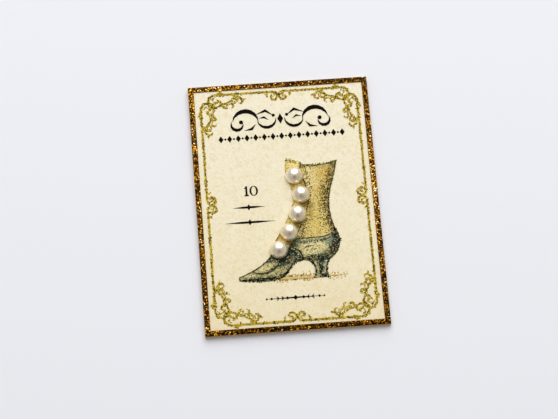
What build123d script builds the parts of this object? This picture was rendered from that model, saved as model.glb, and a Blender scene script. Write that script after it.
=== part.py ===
from build123d import *
import os

# A small printed card with five half-pearl buttons glued down the front of its printed boot.
# The origin is at the centre of the card's back, X runs across it, Y to its head, Z out of its printed face.
# Lengths are in millimetres. A value or table whose name ends in share or shares is a part of a named size.

# Board
card_width = 39.5
card_height = 56.5
card_thickness = 1.0

# Glitter band on the rim of the printed face
band_width = 1.2
band_thickness = 0.12

# Ink, printed in two passes: colours on the board, then dark key lines on the boot's colours.
# Bends are drawn in straight facets that stand off the true curve by the facet depth at most, and small beads
# and curls as many-sided shapes.
ink_thickness = 0.05
facet_depth = 0.06
bead_sides = 7

# Half pearls, in a row down the front of the printed boot
pearl_count = 5
pearl_diameter = 4.0
pearl_gap = 0.54
pearl_drop = 3.67

# Gilt frame: a line round the panel that curls into scrolls at the corners, the ends and the sides
frame_side_inset = 2.5
frame_end_inset = 2.1
frame_line_width = 0.45
branch_width = 0.36
curl_radius = 0.62
curl_hollow_share = 0.78
curl_shift_share = 0.36
corner_reach = 8.4
corner_hang_share = 0.318
end_ornament_reach = 2.95
side_ornament_reach = 3.4
side_ornament_rise = 0.8

# Printed boot, between its ground line and the bead row at the head
boot_length = 23.5
boot_clearance_share = 0.090
ground_rise_share = 0.175
flap_width = 3.4
key_line_width = 0.24
sole_line_width = 0.42
ground_line_length = 23.6
ground_line_width = 0.5

# Black ornaments: a flourish and a bead row at the head, two rules beside the boot, a divider at the foot
flourish_margin = 6.4
flourish_clearance = 0.4
flourish_top_share = 0.250
flourish_bottom_share = 0.228
bead_row_margin = 3.2
bead_row_clearance = 0.8
bead_pitch = 1.9
bead_width = 1.1
bead_height = 1.6
bead_dot_size = 0.56
rule_margin = 3.4
rule_pearl_clearance = 0.8
rule_width = 0.5
rule_pitch = 3.4
divider_length = 12.8
divider_rise = 5.15
divider_width = 0.34
divider_leaf_size = 1.0

# Places worked out from the sizes above
pearl_radius = pearl_diameter / 2
pearl_pitch = pearl_diameter + pearl_gap
frame_x = card_width / 2 - frame_side_inset
frame_y = card_height / 2 - frame_end_inset
corner_hang = corner_hang_share * corner_reach + curl_radius
flourish_reach = frame_x - flourish_margin
flourish_y = frame_y - corner_hang - flourish_clearance - flourish_top_share * flourish_reach
bead_row_y = flourish_y - flourish_bottom_share * flourish_reach - bead_row_clearance - bead_height / 2
divider_y = divider_rise - frame_y
frame_height = 2 * frame_y
ground_y = ground_rise_share * frame_height - frame_y
boot_height = bead_row_y - bead_height / 2 - boot_clearance_share * frame_height - ground_y
print_level = card_thickness
key_level = print_level + ink_thickness
seat_level = key_level + ink_thickness


def on_boot(length_share, height_share):
    """Point on the printed boot, from its toe and its ground line."""
    return Vector((length_share - 1 / 2) * boot_length, ground_y + height_share * boot_height)


def boot_points(shares):
    """Points on the printed boot."""
    return [on_boot(*share) for share in shares]


def half_width(heading, width):
    """Step from the middle of a line with some heading to its side."""
    return heading.cross(Vector(0, 0, 1)).normalized() * (width / 2)


def standoff(curve, start, end):
    """How far the middle of a chord between two places lies off its curve."""
    return ((curve @ start + curve @ end) / 2 - curve @ ((start + end) / 2)).length


def stem(curve):
    """Points along a curve, a facet apart, each with the curve's heading there."""
    count = 2
    while any(standoff(curve, step / count, (step + 1) / count) > facet_depth for step in range(count)):
        count += 1
    places = [step / count for step in range(count + 1)]
    return [(curve @ place, curve % place) for place in places]


def facet_points(curve):
    """Points along a curve, a facet apart."""
    return [point for point, heading in stem(curve)]


def polygon(points):
    """Face with straight sides."""
    with BuildLine() as sides:
        Polyline(*points, close=True)
    return make_face(sides.edges(), mode=Mode.PRIVATE)


def ribbon(course, width):
    """Line of even width along a course of points, each with its heading."""
    left = [point - half_width(heading, width) for point, heading in course]
    right = [point + half_width(heading, width) for point, heading in course]
    return polygon(left + right[::-1])


def outline(curves):
    """Face inside a closed round of curves, each of which starts where the one before it ends."""
    return polygon([point for curve in curves for point in facet_points(curve)[1:]])


def stroke(start, middle, end, width):
    """Pen stroke of two bends, widest at its middle and pointed at both ends."""
    side = half_width(end - start, width)
    outward = ThreePointArc(start, middle + side, end, mode=Mode.PRIVATE)
    homeward = ThreePointArc(end, middle - side, start, mode=Mode.PRIVATE)
    return outline([outward, homeward])


def leaf(root, belly, tip, width):
    """Small straight-sided leaf, widest at its belly."""
    side = half_width(tip - root, width)
    return polygon([root, belly + side, tip, belly - side])


def lozenge(centre, width, height):
    """Upright lozenge."""
    return leaf(centre - Vector(0, height / 2), centre, centre + Vector(0, height / 2), width)


def at_reach(shape, shares, reach):
    """Strokes or leaves whose points and widths are shares of one reach."""
    return [
        shape(Vector(start) * reach, Vector(middle) * reach, Vector(end) * reach, width * reach)
        for start, middle, end, width in shares
    ]


def leaves(shares, reach):
    """Leaves whose points and widths are shares of one reach."""
    return at_reach(leaf, shares, reach)


def strokes(shares, reach):
    """Pen strokes whose points and widths are shares of one reach."""
    return at_reach(stroke, shares, reach)


def ball(centre_shares, radius_share, reach):
    """Draw a small round bead at the end of a scroll."""
    with Locations(Vector(centre_shares) * reach):
        RegularPolygon(radius_share * reach, side_count=bead_sides)


def curl(centre_shares, opening, reach):
    """Draw a small crescent that opens at an angle."""
    hollow = Vector(curl_shift_share * curl_radius, 0).rotate(Axis.Z, opening)
    with BuildSketch() as crescent:
        RegularPolygon(curl_radius, side_count=bead_sides)
        with Locations(hollow):
            RegularPolygon(curl_hollow_share * curl_radius, side_count=bead_sides, mode=Mode.SUBTRACT)
    with Locations(Vector(centre_shares) * reach):
        add(crescent.sketch)


def scroll(start, heading, run, bend_shares, reach):
    """Draw the frame line running straight, then winding through tangent arcs of (radius share, degrees)."""
    bend = Line(start, Vector(start) + Vector(heading) * run, mode=Mode.PRIVATE)
    course = [(bend @ 0, bend % 0), (bend @ 1, bend % 1)]
    for radius, turn in bend_shares:
        bend = JernArc(bend @ 1, bend % 1, radius * reach, turn, mode=Mode.PRIVATE)
        course += stem(bend)[1:]
    add(ribbon(course, frame_line_width))


# Pearl places, one pitch apart down the boot's front line, which runs from its top to its toe
front_line_shares = (
    (0.587, 0.988),
    (0.583, 0.853),
    (0.630, 0.692),
    (0.583, 0.532),
    (0.493, 0.386),
    (0.386, 0.248),
    (0.262, 0.150),
    (0.130, 0.080),
)
with BuildLine():
    front_line = Spline(*boot_points(front_line_shares))
pearl_drops = [pearl_drop + number * pearl_pitch for number in range(pearl_count)]
pearl_places = [front_line.position_at(drop, position_mode=PositionMode.LENGTH) for drop in pearl_drops]

# Board, cut square
with BuildPart() as card:
    with BuildSketch():
        Rectangle(card_width, card_height)
    extrude(amount=card_thickness)

# Glitter band, flush with the cut edge
with BuildPart() as glitter_border:
    with BuildSketch(Plane.XY.offset(card_thickness)):
        Rectangle(card_width, card_height)
        Rectangle(card_width - 2 * band_width, card_height - 2 * band_width, mode=Mode.SUBTRACT)
    extrude(amount=band_thickness)

# Corner ornament: the corner of the frame line is its origin, and it is drawn for the upper left corner.
# One half runs down the side line, and the other is its mirror image in the corner's diagonal.
corner_run_shares = (0.500, 0.107)
corner_bend_shares = ((0.185, -150),)
corner_branch_shares = ((0.350, -0.380), (0.236, -0.690), (0.056, -1.010))
corner_leaf_shares = (
    ((0.042, -0.410), (0.120, -0.312), (0.225, -0.372), 0.052),
    ((0.290, -0.580), (0.185, -0.520), (0.108, -0.410), 0.058),
    ((0.236, -0.610), (0.256, -0.690), (0.290, -0.755), 0.052),
    ((0.050, -0.985), (0.105, -1.055), (0.165, -1.090), 0.060),
    ((0.130, -1.060), (0.165, -1.130), (0.150, -1.202), 0.062),
    ((-0.004, -0.545), (0.008, -0.620), (-0.004, -0.690), 0.104),
)
corner_curl_shares = ((corner_hang_share, -0.805), (0.205, -1.050))
corner_curl_openings = (60, 110)
corner_ball_shares = (0.232, -0.381)
corner_ball_radius_share = 0.036
corner_knot_shares = (0.333, -0.333)
corner_knot_radius_share = 0.054
with BuildSketch() as corner_ornament:
    scroll(
        (0, -corner_run_shares[0] * corner_reach),
        (0, 1),
        corner_run_shares[1] * corner_reach,
        corner_bend_shares,
        corner_reach,
    )
    branch = ThreePointArc(*[Vector(share) * corner_reach for share in corner_branch_shares], mode=Mode.PRIVATE)
    add(ribbon(stem(branch), branch_width))
    add(leaves(corner_leaf_shares, corner_reach))
    for centre, opening in zip(corner_curl_shares, corner_curl_openings):
        curl(centre, opening, corner_reach)
    ball(corner_ball_shares, corner_ball_radius_share, corner_reach)
    mirror(about=Plane((0, 0, 0), z_dir=(1, 1, 0)))
    ball(corner_knot_shares, corner_knot_radius_share, corner_reach)

# End ornament: the left of two volutes that stand back to back under the middle of the end line
end_run_share = 0.627
end_bend_shares = ((0.322, -180), (0.190, -150))
end_leaf_shares = (
    ((-0.400, -0.040), (-0.275, -0.240), (-0.400, -0.440), 0.125),
    ((-0.930, 0.000), (-0.890, -0.220), (-0.840, -0.430), 0.165),
)
with BuildSketch() as end_ornament:
    scroll(
        (-end_ornament_reach, 0),
        (1, 0),
        end_run_share * end_ornament_reach,
        end_bend_shares,
        end_ornament_reach,
    )
    add(leaves(end_leaf_shares, end_ornament_reach))

# Side ornament: the upper of two volutes that meet beside the middle of the left line, and its mirror image
side_run_share = 0.691
side_bend_shares = ((0.280, 180), (0.185, 140))
side_leaf_shares = (
    ((0.130, 0.210), (0.330, 0.270), (0.395, 0.455), 0.125),
    ((0.030, 0.660), (0.085, 0.470), (0.220, 0.390), 0.095),
    ((0.000, 0.770), (0.150, 0.770), (0.265, 0.900), 0.110),
)
side_ball_shares = (0.265, 0.560)
side_ball_radius_share = 0.085
with BuildSketch() as side_ornament:
    scroll(
        (0, side_ornament_reach),
        (0, -1),
        side_run_share * side_ornament_reach,
        side_bend_shares,
        side_ornament_reach,
    )
    add(leaves(side_leaf_shares, side_ornament_reach))
    ball(side_ball_shares, side_ball_radius_share, side_ornament_reach)
    mirror(about=Plane.XZ)

# Gilt frame: the left half of the head, its mirror image at the foot, the left side, then the right half
corner_line_start = corner_run_shares[0] * corner_reach
with BuildPart() as gilt_scroll_frame:
    with BuildSketch(Plane.XY.offset(print_level)):
        with Locations((-frame_x, frame_y)):
            add(corner_ornament.sketch)
        with Locations((0, frame_y)):
            add(end_ornament.sketch)
        with BuildLine():
            Line((-frame_x + corner_line_start, frame_y), (-end_ornament_reach, frame_y))
        trace(line_width=frame_line_width)
        mirror(about=Plane.XZ)
        with Locations((-frame_x, side_ornament_rise)):
            add(side_ornament.sketch)
        with BuildLine():
            Line((-frame_x, frame_y - corner_line_start), (-frame_x, side_ornament_rise + side_ornament_reach))
            Line((-frame_x, side_ornament_rise - side_ornament_reach), (-frame_x, corner_line_start - frame_y))
        trace(line_width=frame_line_width)
        mirror(about=Plane.YZ)
    extrude(amount=ink_thickness)

# Boot flap: a band along the row of pearls, from the top of the leg to the last pearl
with BuildLine():
    flap_path = Spline(front_line @ 0, *pearl_places)
with BuildSketch() as flap_shape:
    add(ribbon(stem(flap_path), flap_width))

# Boot leg, from its hollow top line to the seam above the foot
leg_top_shares = ((0.587, 0.965), (0.777, 0.939), (0.985, 0.967))
leg_back_shares = ((0.985, 0.967), (0.940, 0.816), (0.883, 0.632), (0.887, 0.500), (0.919, 0.397))
seam_shares = ((0.919, 0.397), (0.860, 0.349), (0.738, 0.331), (0.580, 0.330), (0.436, 0.310))
leg_front_shares = ((0.436, 0.310), (0.491, 0.388), (0.583, 0.537), (0.630, 0.695), (0.583, 0.853), (0.587, 0.965))
with BuildLine():
    leg_top = ThreePointArc(*boot_points(leg_top_shares))
    leg_back = Spline(*boot_points(leg_back_shares))
    seam = Spline(*boot_points(seam_shares))
    leg_front = Spline(*boot_points(leg_front_shares))
with BuildSketch() as leg_shape:
    add(outline([leg_top, leg_back, seam, leg_front]))

# Boot foot: a rounded counter, a waisted heel, an arched shank, a thin sole and a long pointed toe
counter_shares = ((0.919, 0.397), (0.952, 0.309), (0.883, 0.173))
heel_back_shares = ((0.883, 0.173), (0.812, 0.088), (0.823, 0))
heel_front_shares = ((0.683, 0), (0.702, 0.081), (0.657, 0.143))
shank_shares = ((0.657, 0.143), (0.568, 0.150), (0.483, 0.092))
sole_shares = ((0.483, 0.092), (0.389, 0.018), (0.245, 0), (0.028, 0.009))
toe_tip_shares = ((0.028, 0.009), (0, 0.0276), (0.028, 0.0515))
toe_top_shares = ((0.028, 0.0515), (0.160, 0.103), (0.274, 0.173), (0.335, 0.250))
with BuildLine():
    counter = ThreePointArc(*boot_points(counter_shares))
    heel_back = ThreePointArc(*boot_points(heel_back_shares))
    heel_front = ThreePointArc(*boot_points(heel_front_shares))
    shank = ThreePointArc(*boot_points(shank_shares))
    sole = Spline(*boot_points(sole_shares))
    toe_tip = ThreePointArc(*boot_points(toe_tip_shares))
    toe_top = Spline(*boot_points(toe_top_shares))
heel_rim = facet_points(counter) + facet_points(heel_back)[1:]
sole_rim = facet_points(heel_front) + facet_points(shank)[1:] + facet_points(sole)[1:]
toe_rim = facet_points(toe_tip)[1:] + facet_points(toe_top)[1:]
seam_rim = facet_points(seam)[:0:-1]
with BuildSketch() as foot_shape:
    add(polygon(heel_rim + sole_rim + toe_rim + seam_rim))

with BuildPart() as boot_flap_print:
    with BuildSketch(Plane.XY.offset(print_level)):
        add(flap_shape.sketch)
    extrude(amount=ink_thickness)

with BuildPart() as boot_leg_print:
    with BuildSketch(Plane.XY.offset(print_level)):
        add(leg_shape.sketch)
        add(flap_shape.sketch, mode=Mode.SUBTRACT)
    extrude(amount=ink_thickness)

with BuildPart() as boot_foot_print:
    with BuildSketch(Plane.XY.offset(print_level)):
        add(foot_shape.sketch)
        add(flap_shape.sketch, mode=Mode.SUBTRACT)
    extrude(amount=ink_thickness)

# Key lines on the boot's colours. An outline's line is drawn at twice its width along the edge, and the half
# that lies outside the boot is cut away.
boot_leaf_shares = (
    ((0.515, 0.262), (0.580, 0.222), (0.600, 0.160), 0.024),
    ((0.600, 0.235), (0.640, 0.262), (0.720, 0.268), 0.014),
    ((0.640, 0.178), (0.760, 0.158), (0.880, 0.190), 0.034),
)
toe_cap_shares = ((0.120, 0.084), (0.225, 0.060), (0.375, 0.140))
toe_cap_width_share = 0.020
with BuildSketch() as boot_shape:
    add([flap_shape.sketch, leg_shape.sketch, foot_shape.sketch])
with BuildPart() as boot_line_print:
    with BuildSketch(Plane.XY.offset(key_level)):
        for edge in (leg_top, leg_back, counter, heel_back, heel_front, toe_tip, toe_top):
            add(ribbon(stem(edge), 2 * key_line_width))
        for edge in (shank, sole):
            add(ribbon(stem(edge), 2 * sole_line_width))
        add(ribbon(stem(seam), key_line_width))
        add(stroke(*boot_points(toe_cap_shares), toe_cap_width_share * boot_length))
        add([leaf(*boot_points(points), width * boot_length) for *points, width in boot_leaf_shares])
        add(flap_shape.sketch)
        add(ribbon(stem(flap_path), flap_width - 2 * key_line_width), mode=Mode.SUBTRACT)
        add(boot_shape.sketch, mode=Mode.INTERSECT)
    extrude(amount=ink_thickness)

# Ground line either side of the boot and under its arch
ground_line_rise_share = 0.012
ground_middle = on_boot(1 / 2, ground_line_rise_share)
ground_half = Vector(ground_line_length / 2, 0)
with BuildPart() as ground_print:
    with BuildSketch(Plane.XY.offset(print_level)):
        add(stroke(ground_middle - ground_half, ground_middle, ground_middle + ground_half, ground_line_width))
        add(foot_shape.sketch, mode=Mode.SUBTRACT)
    extrude(amount=ink_thickness)

# Flourish: the right half of a pen scroll, its mirror image, and a lozenge between them
flourish_stroke_shares = (
    ((0.085, 0.030), (0.270, -0.175), (0.470, -0.010), 0.060),
    ((0.440, -0.045), (0.700, 0.205), (0.970, -0.010), 0.090),
    ((0.970, 0.010), (0.865, -0.195), (0.765, -0.030), 0.066),
)
flourish_leaf_shares = (
    ((0.130, 0.070), (0.290, 0.190), (0.500, 0.110), 0.062),
    ((0.500, -0.085), (0.590, -0.190), (0.745, -0.215), 0.056),
    ((0.235, -0.015), (0.330, 0.050), (0.430, 0.030), 0.044),
)
flourish_ball_shares = (0.797, -0.030)
flourish_ball_radius_share = 0.044
flourish_bud_shares = (0.135, 0.080)
flourish_bud_radius_share = 0.034
flourish_lozenge_shares = (0.120, 0.220)
with BuildSketch() as flourish:
    add(strokes(flourish_stroke_shares, flourish_reach) + leaves(flourish_leaf_shares, flourish_reach))
    ball(flourish_ball_shares, flourish_ball_radius_share, flourish_reach)
    ball(flourish_bud_shares, flourish_bud_radius_share, flourish_reach)
    mirror(about=Plane.YZ)
    add(lozenge(Vector(0, 0), *[share * flourish_reach for share in flourish_lozenge_shares]))

# Divider: the right half of a row of bulbs and leaves on a swelled rule, and its mirror image
divider_reach = divider_length / 2
divider_bulb_shares = ((0.270, 0.120), (0.800, 0.100), (0.960, 0.075))
divider_leaf_place_shares = (0.420, 0.580)
divider_leaf_shares = (
    ((-0.30, 0.00), (0.05, 0.18), (0.32, 0.52), 0.26),
    ((-0.30, 0.00), (0.05, -0.18), (0.32, -0.52), 0.26),
)
divider_lozenge_share = 0.165
with BuildSketch() as divider:
    for place, size in divider_bulb_shares:
        add(lozenge(Vector(place * divider_reach, 0), size * divider_reach, size * divider_reach))
    with Locations(*[Vector(place * divider_reach, 0) for place in divider_leaf_place_shares]):
        add(leaves(divider_leaf_shares, divider_leaf_size))
    mirror(about=Plane.YZ)
    add(lozenge(Vector(0, 0), divider_lozenge_share * divider_reach, divider_lozenge_share * divider_reach))
    add(stroke(Vector(-divider_reach, 0), Vector(0, 0), Vector(divider_reach, 0), divider_width))

# Rules beside the boot, as long as the room between the frame and the fourth pearl allows
rule_rise_share = 0.618
rule_left = rule_margin - frame_x
rule_right = pearl_places[3].X - pearl_radius - rule_pearl_clearance
rule_centre = (rule_left + rule_right) / 2
rule_top = on_boot(0, rule_rise_share).Y
rule_reach_shares = (0.62, 1.00)
rule_lozenge_shares = (1.7, 2.8)
with BuildSketch() as rules:
    for row, reach_share in enumerate(rule_reach_shares):
        reach = reach_share * (rule_right - rule_left) / 2
        middle = Vector(rule_centre, rule_top - row * rule_pitch)
        add(stroke(middle - Vector(reach, 0), middle, middle + Vector(reach, 0), rule_width))
        add(lozenge(middle, *[share * rule_width for share in rule_lozenge_shares]))

# Black ornaments, with the bead row of lozenges and dots under the flourish
bead_count = int((frame_x - bead_row_margin) / bead_pitch)
with BuildPart() as black_ornament_print:
    with BuildSketch(Plane.XY.offset(print_level)):
        with Locations((0, flourish_y)):
            add(flourish.sketch)
        with Locations((0, bead_row_y)):
            with GridLocations(bead_pitch, 0, 2 * bead_count + 1, 1):
                add(lozenge(Vector(0, 0), bead_width, bead_height))
            with GridLocations(bead_pitch, 0, 2 * bead_count, 1):
                add(lozenge(Vector(0, 0), bead_dot_size, bead_dot_size))
        add(rules.sketch)
        with Locations((0, divider_y)):
            add(divider.sketch)
    extrude(amount=ink_thickness)

# Half pearls: domes moulded with a flat back, seated on the print
pearl_buttons = {}
for number, place in enumerate(pearl_places, start=1):
    seat = Vector(place.X, place.Y, seat_level)
    with BuildPart() as pearl_button:
        with BuildSketch(Plane(seat, x_dir=(1, 0, 0), z_dir=(0, -1, 0))):
            with BuildLine():
                dome = CenterArc((0, 0), pearl_radius, 0, 90)
                Polyline(dome @ 1, (0, 0), dome @ 0)
            make_face()
        revolve(axis=Axis(seat, (0, 0, 1)))
    pearl_buttons[f"pearl_button_{number}"] = pearl_button

# One file for each piece, named as the piece is
pieces = {
    "card": card,
    "glitter_border": glitter_border,
    "gilt_scroll_frame": gilt_scroll_frame,
    "boot_flap_print": boot_flap_print,
    "boot_leg_print": boot_leg_print,
    "boot_foot_print": boot_foot_print,
    "boot_line_print": boot_line_print,
    "ground_print": ground_print,
    "black_ornament_print": black_ornament_print,
    **pearl_buttons,
}
os.makedirs("parts", exist_ok=True)
for name, piece in pieces.items():
    piece.part.label = name
    export_step(piece.part, f"parts/{name}.step")
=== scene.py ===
"""Looks of a small card of half-pearl buttons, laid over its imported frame.

The board, its inks and its glitter band keep the frame's own meshes and get new materials. The pearls are
modelled again with a smooth dome. Loose flakes, stippled shading, beading on the gilt frame and a numeral
are added.
"""
import logging
import math
from collections.abc import Callable, Sequence
from dataclasses import dataclass, replace
from enum import Enum

import bpy
import numpy as np
from mathutils import Matrix, Vector


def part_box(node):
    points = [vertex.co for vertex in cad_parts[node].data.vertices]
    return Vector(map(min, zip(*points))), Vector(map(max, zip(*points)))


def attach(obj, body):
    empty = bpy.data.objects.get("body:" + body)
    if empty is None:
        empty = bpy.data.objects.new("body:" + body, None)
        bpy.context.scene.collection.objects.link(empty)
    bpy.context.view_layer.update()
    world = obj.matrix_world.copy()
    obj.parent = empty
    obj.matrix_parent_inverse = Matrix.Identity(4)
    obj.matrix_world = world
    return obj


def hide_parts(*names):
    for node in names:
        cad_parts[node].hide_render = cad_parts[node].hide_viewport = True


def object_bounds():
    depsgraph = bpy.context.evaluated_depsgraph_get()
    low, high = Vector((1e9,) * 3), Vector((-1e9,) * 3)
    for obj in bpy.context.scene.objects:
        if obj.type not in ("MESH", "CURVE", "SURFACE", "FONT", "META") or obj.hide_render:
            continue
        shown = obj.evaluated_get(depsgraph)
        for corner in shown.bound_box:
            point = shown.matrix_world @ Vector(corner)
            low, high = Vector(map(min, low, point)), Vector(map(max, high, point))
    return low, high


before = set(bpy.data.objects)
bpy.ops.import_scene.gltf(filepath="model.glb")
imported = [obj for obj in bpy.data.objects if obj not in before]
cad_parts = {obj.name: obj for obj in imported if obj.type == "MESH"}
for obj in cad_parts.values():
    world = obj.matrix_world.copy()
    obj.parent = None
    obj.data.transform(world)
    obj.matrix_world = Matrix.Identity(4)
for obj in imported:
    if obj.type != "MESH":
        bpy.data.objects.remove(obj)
cad_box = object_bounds()

MM = 0.001
LOG = logging.getLogger("button_card")

# Mesh attribute that holds the colour of each loose bit
TINT = "tint"

# Sockets of a Mix node set to colour, by number, because its other kinds use the same names
MIX_AMOUNT = 0
MIX_FROM = 6
MIX_TO = 7
MIXED = 2


class Slot(Enum):
    """Words that a stippled piece adds to the name of its finish."""

    GLITTER = "glitter"
    GILT_INK = "gilt_ink"
    KEY_INK = "key_ink"
    GROUND_INK = "ground_ink"
    BLACK_INK = "black_ink"
    PEARL = "pearl"


def linear(hex_colour: str) -> tuple[float, float, float, float]:
    """Turn an sRGB hex colour into linear red, green, blue and alpha.

    Args:
        hex_colour: A colour such as "#F1E8CD".

    Returns:
        The linear colour, with alpha 1.
    """
    channels = [int(hex_colour[start:start + 2], 16) / 255 for start in (1, 3, 5)]
    red, green, blue = (c / 12.92 if c <= 0.04045 else ((c + 0.055) / 1.055) ** 2.4 for c in channels)
    return red, green, blue, 1.0


def per_mm(size_mm: float) -> float:
    """Give the texture scale at which a feature is as large as stated.

    Args:
        size_mm: Size of the feature in millimetres.

    Returns:
        The scale for a texture that reads metres.
    """
    return 1 / (size_mm * MM)


def add_node(tree: bpy.types.NodeTree, kind: str, settings: dict | None = None, inputs: dict | None = None,
             stops: Sequence[tuple[float, str]] = ()) -> bpy.types.Node:
    """Add a node with its settings, its input values or links, and its colour stops.

    Args:
        tree: Node tree that takes the node.
        kind: Blender's name of the node type.
        settings: Properties of the node.
        inputs: Input sockets by name or number, each with a value or with the socket that feeds it.
        stops: Places and hex colours of a colour ramp.

    Returns:
        The new node.
    """
    node = tree.nodes.new(kind)
    for key, value in (settings or {}).items():
        setattr(node, key, value)
    for key, value in (inputs or {}).items():
        if isinstance(value, bpy.types.NodeSocket):
            tree.links.new(value, node.inputs[key])
        else:
            node.inputs[key].default_value = value
    for number, (place, colour) in enumerate(stops):
        elements = node.color_ramp.elements
        element = elements[number] if number < len(elements) else elements.new(place)
        element.position = place
        element.color = linear(colour)
    return node


def new_material(
    name: str, shader: dict,
) -> tuple[bpy.types.Material, bpy.types.Node, bpy.types.NodeSocket]:
    """Start a procedural material on Object coordinates.

    Args:
        name: Name of the real material.
        shader: Constant inputs of the principled shader.

    Returns:
        The material, its principled shader and the socket with the Object coordinates.
    """
    material = bpy.data.materials.new(name)
    material.use_nodes = True
    principled = material.node_tree.nodes["Principled BSDF"]
    for key, value in shader.items():
        principled.inputs[key].default_value = value
    place = add_node(material.node_tree, "ShaderNodeTexCoord").outputs["Object"]
    return material, principled, place


@dataclass(frozen=True)
class Patch:
    """A soft-edged field of colour on a printed film, in millimetres on the card."""

    centre: tuple[float, float]
    radii: tuple[float, float]
    colour: str
    strength: float = 0.9
    turn: float = 0.0


@dataclass(frozen=True)
class CardStock:
    """Cream board with a fibrous printed face, and a bare tan core at its cut edge and back."""

    # Cream from the card's foot to its head, paler towards the head: partly the board's own tone, partly
    # painted light falloff
    face_stops: tuple[tuple[float, str], ...] = ((0.0, "#F1E4BF"), (0.45, "#F6EDCF"), (1.0, "#F8F1D9"))
    fibre: str = "#DCC88E"
    core: str = "#CDB286"
    core_fibre: str = "#A38450"
    fibre_mm: float = 0.9
    fleck_range: tuple[float, float] = (0.46, 0.74)
    fleck_amount: float = 0.75
    tooth_mm: float = 0.05
    tooth_strength: float = 0.25
    ply_mm: float = 0.55
    ply_flatness: float = 5.0
    ply_range: tuple[float, float] = (0.34, 0.68)
    cloud_mm: float = 6.0
    cloud_share: float = 0.7
    half_height_mm: float = 28.25
    face_level_mm: float = 0.98

    def material(self) -> bpy.types.Material:
        """Build the board, whose uneven cream and slight tooth make it read as soft, uncoated card, with
        its face paler towards the head, partly its own tone and partly painted light falloff.

        Returns:
            The material.
        """
        material, shader, place = new_material("cream_card_stock", {
            "Roughness": 0.82,
            "Specular IOR Level": 0.25,
        })
        tree = material.node_tree
        axes = add_node(tree, "ShaderNodeSeparateXYZ", None, {"Vector": place})
        # Darker towards the foot and paler towards the head: partly the board's own tone, partly painted
        # light falloff from the lamp over the head
        height = add_node(tree, "ShaderNodeMapRange", None, {
            "Value": axes.outputs["Y"],
            "From Min": -self.half_height_mm * MM,
            "From Max": self.half_height_mm * MM,
        })
        cloud = add_node(tree, "ShaderNodeTexNoise", None, {
            "Vector": place,
            "Scale": per_mm(self.cloud_mm),
            "Detail": 4.0,
        })
        shifted = add_node(tree, "ShaderNodeMath", {"operation": "MULTIPLY_ADD"}, {
            0: cloud.outputs["Fac"],
            1: self.cloud_share,
            2: height.outputs["Result"],
        })
        centred = add_node(tree, "ShaderNodeMath", {"operation": "SUBTRACT"}, {
            0: shifted.outputs[0],
            1: self.cloud_share / 2,
        })
        face = add_node(tree, "ShaderNodeValToRGB", None, {"Fac": centred.outputs[0]}, self.face_stops)
        fibres = add_node(tree, "ShaderNodeTexNoise", None, {
            "Vector": place,
            "Scale": per_mm(self.fibre_mm),
            "Detail": 8.0,
            "Roughness": 0.72,
            "Distortion": 1.2,
        })
        fleck = add_node(tree, "ShaderNodeMapRange", None, {
            "Value": fibres.outputs["Fac"],
            "From Min": self.fleck_range[0],
            "From Max": self.fleck_range[1],
            "To Max": self.fleck_amount,
        })
        flecked = add_node(tree, "ShaderNodeMix", {"data_type": "RGBA"}, {
            MIX_AMOUNT: fleck.outputs["Result"],
            MIX_FROM: face.outputs["Color"],
            MIX_TO: linear(self.fibre),
        })
        flattened = add_node(tree, "ShaderNodeMapping", None, {
            "Vector": place,
            "Scale": (1.0, 1.0, self.ply_flatness),
        })
        plies = add_node(tree, "ShaderNodeTexNoise", None, {
            "Vector": flattened.outputs[0],
            "Scale": per_mm(self.ply_mm),
            "Detail": 6.0,
            "Roughness": 0.7,
        })
        ply = add_node(tree, "ShaderNodeMapRange", None, {
            "Value": plies.outputs["Fac"],
            "From Min": self.ply_range[0],
            "From Max": self.ply_range[1],
        })
        core = add_node(tree, "ShaderNodeMix", {"data_type": "RGBA"}, {
            MIX_AMOUNT: ply.outputs["Result"],
            MIX_FROM: linear(self.core),
            MIX_TO: linear(self.core_fibre),
        })
        on_face = add_node(tree, "ShaderNodeMath", {"operation": "GREATER_THAN"}, {
            0: axes.outputs["Z"],
            1: self.face_level_mm * MM,
        })
        colour = add_node(tree, "ShaderNodeMix", {"data_type": "RGBA"}, {
            MIX_AMOUNT: on_face.outputs[0],
            MIX_FROM: core.outputs[MIXED],
            MIX_TO: flecked.outputs[MIXED],
        })
        tooth = add_node(tree, "ShaderNodeBump", None, {
            "Height": fibres.outputs["Fac"],
            "Strength": self.tooth_strength,
            "Distance": self.tooth_mm * MM,
        })
        tree.links.new(colour.outputs[MIXED], shader.inputs["Base Color"])
        tree.links.new(tooth.outputs["Normal"], shader.inputs["Normal"])
        return material


@dataclass(frozen=True)
class SpeckledInk:
    """A printed ink whose colour breaks up into specks, as a small press leaves it."""

    name: str
    stops: tuple[tuple[float, str], ...]
    # Real specks of ink are too fine to show in the render, so they are drawn coarser.
    speck_mm: float = 0.35
    roughness: float = 0.6
    metallic: float = 0.0
    specular: float = 0.1

    def material(self) -> bpy.types.Material:
        """Build the ink, whose specks keep a flat printed field from looking like a plastic sheet.

        Returns:
            The material.
        """
        material, shader, place = new_material(self.name, {
            "Roughness": self.roughness,
            "Metallic": self.metallic,
            "Specular IOR Level": self.specular,
        })
        tree = material.node_tree
        specks = add_node(tree, "ShaderNodeTexNoise", None, {
            "Vector": place,
            "Scale": per_mm(self.speck_mm),
            "Detail": 3.0,
            "Roughness": 0.6,
        })
        colour = add_node(tree, "ShaderNodeValToRGB", None, {"Fac": specks.outputs["Fac"]}, self.stops)
        tree.links.new(colour.outputs["Color"], shader.inputs["Base Color"])
        return material


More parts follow.
